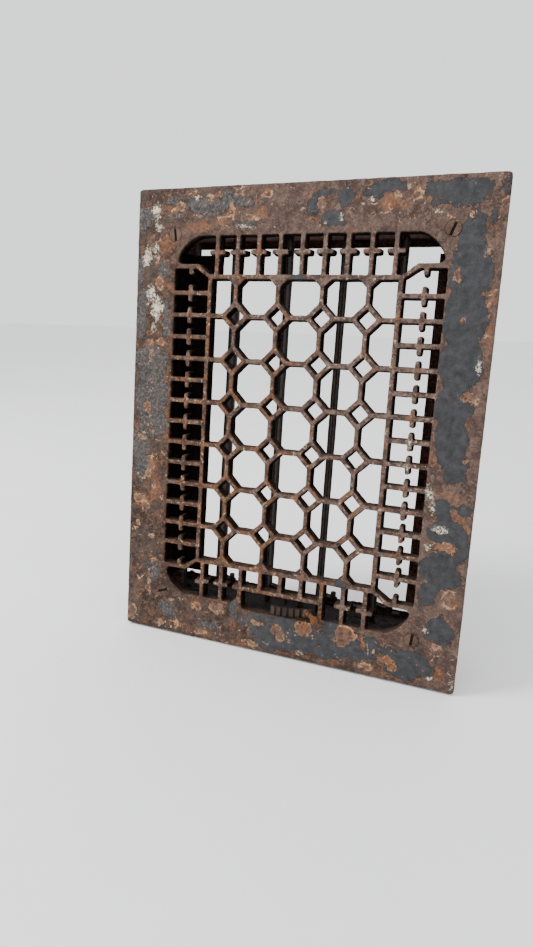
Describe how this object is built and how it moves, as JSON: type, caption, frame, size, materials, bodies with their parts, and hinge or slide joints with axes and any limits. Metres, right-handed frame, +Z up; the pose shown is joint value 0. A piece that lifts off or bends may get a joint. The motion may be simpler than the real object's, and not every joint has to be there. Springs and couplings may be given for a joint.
{
  "type": "louvred air grille",
  "caption": "Cast-iron register: flat rim, diamond and octagon lattice, riveted box behind it, and upright louvre blades worked together by a ribbed thumb lever.",
  "frame": {"origin": "centre of the face plate, on the plane of the rim's back that rests on the wall or floor", "axes": "+Z up the plate's long side, away from the lever; +Y back into the duct; +X to the right as seen from the front"},
  "size_m": [0.273, 0.0674, 0.354],
  "materials": {
    "face_iron": "rusty, with flaking slate-grey and cream paint",
    "box_iron": "rusty and sooty",
    "louvre_iron": "dark rusty iron",
    "lever_iron": "worn brown iron, lighter on the ridges",
    "knob_iron": "orange rust",
    "pin_steel": "rusty steel"
  },
  "bodies": {
    "grille": {"face_plate": "face_iron", "face_screw_top_left": "face_iron", "face_screw_top_right": "face_iron", "face_screw_bottom_left": "face_iron", "face_screw_bottom_right": "face_iron", "side_wall_left": "box_iron", "side_wall_right": "box_iron", "end_wall_top": "box_iron", "end_wall_bottom": "box_iron", "corner_lug_top_left": "box_iron", "corner_lug_top_right": "box_iron", "corner_lug_bottom_left": "box_iron", "corner_lug_bottom_right": "box_iron", "corner_rivet_1": "pin_steel", "corner_rivet_2": "pin_steel", "corner_rivet_3": "pin_steel", "corner_rivet_4": "pin_steel", "corner_rivet_5": "pin_steel", "corner_rivet_6": "pin_steel", "corner_rivet_7": "pin_steel", "corner_rivet_8": "pin_steel", "lever_pivot_pin": "pin_steel"},
    "lever": {"thumb_lever": "lever_iron", "lever_knob": "knob_iron", "lever_drive_pin": "pin_steel"},
    "link": {"link_bar": "louvre_iron"},
    "louvre_1_body": {"louvre_1": "louvre_iron", "link_pin_1": "pin_steel"},
    "louvre_2_body": {"louvre_2": "louvre_iron", "link_pin_2": "pin_steel"},
    "louvre_3_body": {"louvre_3": "louvre_iron", "link_pin_3": "pin_steel"},
    "louvre_4_body": {"louvre_4": "louvre_iron", "link_pin_4": "pin_steel"}
  },
  "joints": [
    {"name": "lever_turn", "type": "hinge", "parent": "grille", "child": "lever", "pos_m": [0, 0.0305, -0.143], "axis": [0, 0, -1], "range_deg": [0, 75]},
    {"name": "louvre_1_turn", "type": "hinge", "parent": "grille", "child": "louvre_1_body", "pos_m": [-0.0669, 0.0315, 0], "axis": [0, 0, -1], "range_deg": [0, 105]},
    {"name": "louvre_2_turn", "type": "hinge", "parent": "grille", "child": "louvre_2_body", "pos_m": [-0.0223, 0.0315, 0], "axis": [0, 0, -1], "range_deg": [0, 105]},
    {"name": "louvre_3_turn", "type": "hinge", "parent": "grille", "child": "louvre_3_body", "pos_m": [0.0223, 0.0315, 0], "axis": [0, 0, -1], "range_deg": [0, 105]},
    {"name": "louvre_4_turn", "type": "hinge", "parent": "grille", "child": "louvre_4_body", "pos_m": [0.0669, 0.0315, 0], "axis": [0, 0, -1], "range_deg": [0, 105]},
    {"name": "link_swing", "type": "hinge", "parent": "louvre_1_body", "child": "link", "pos_m": [-0.05342, 0.02492, -0.1367], "axis": [0, 0, 1], "range_deg": [0, 105]}
  ],
  "couplings": [
    {"joint": "louvre_1_turn", "follows": "lever_turn", "ratio": 1.4},
    {"joint": "louvre_2_turn", "follows": "lever_turn", "ratio": 1.4},
    {"joint": "louvre_3_turn", "follows": "lever_turn", "ratio": 1.4},
    {"joint": "louvre_4_turn", "follows": "lever_turn", "ratio": 1.4},
    {"joint": "link_swing", "follows": "lever_turn", "ratio": 1.4}
  ]
}
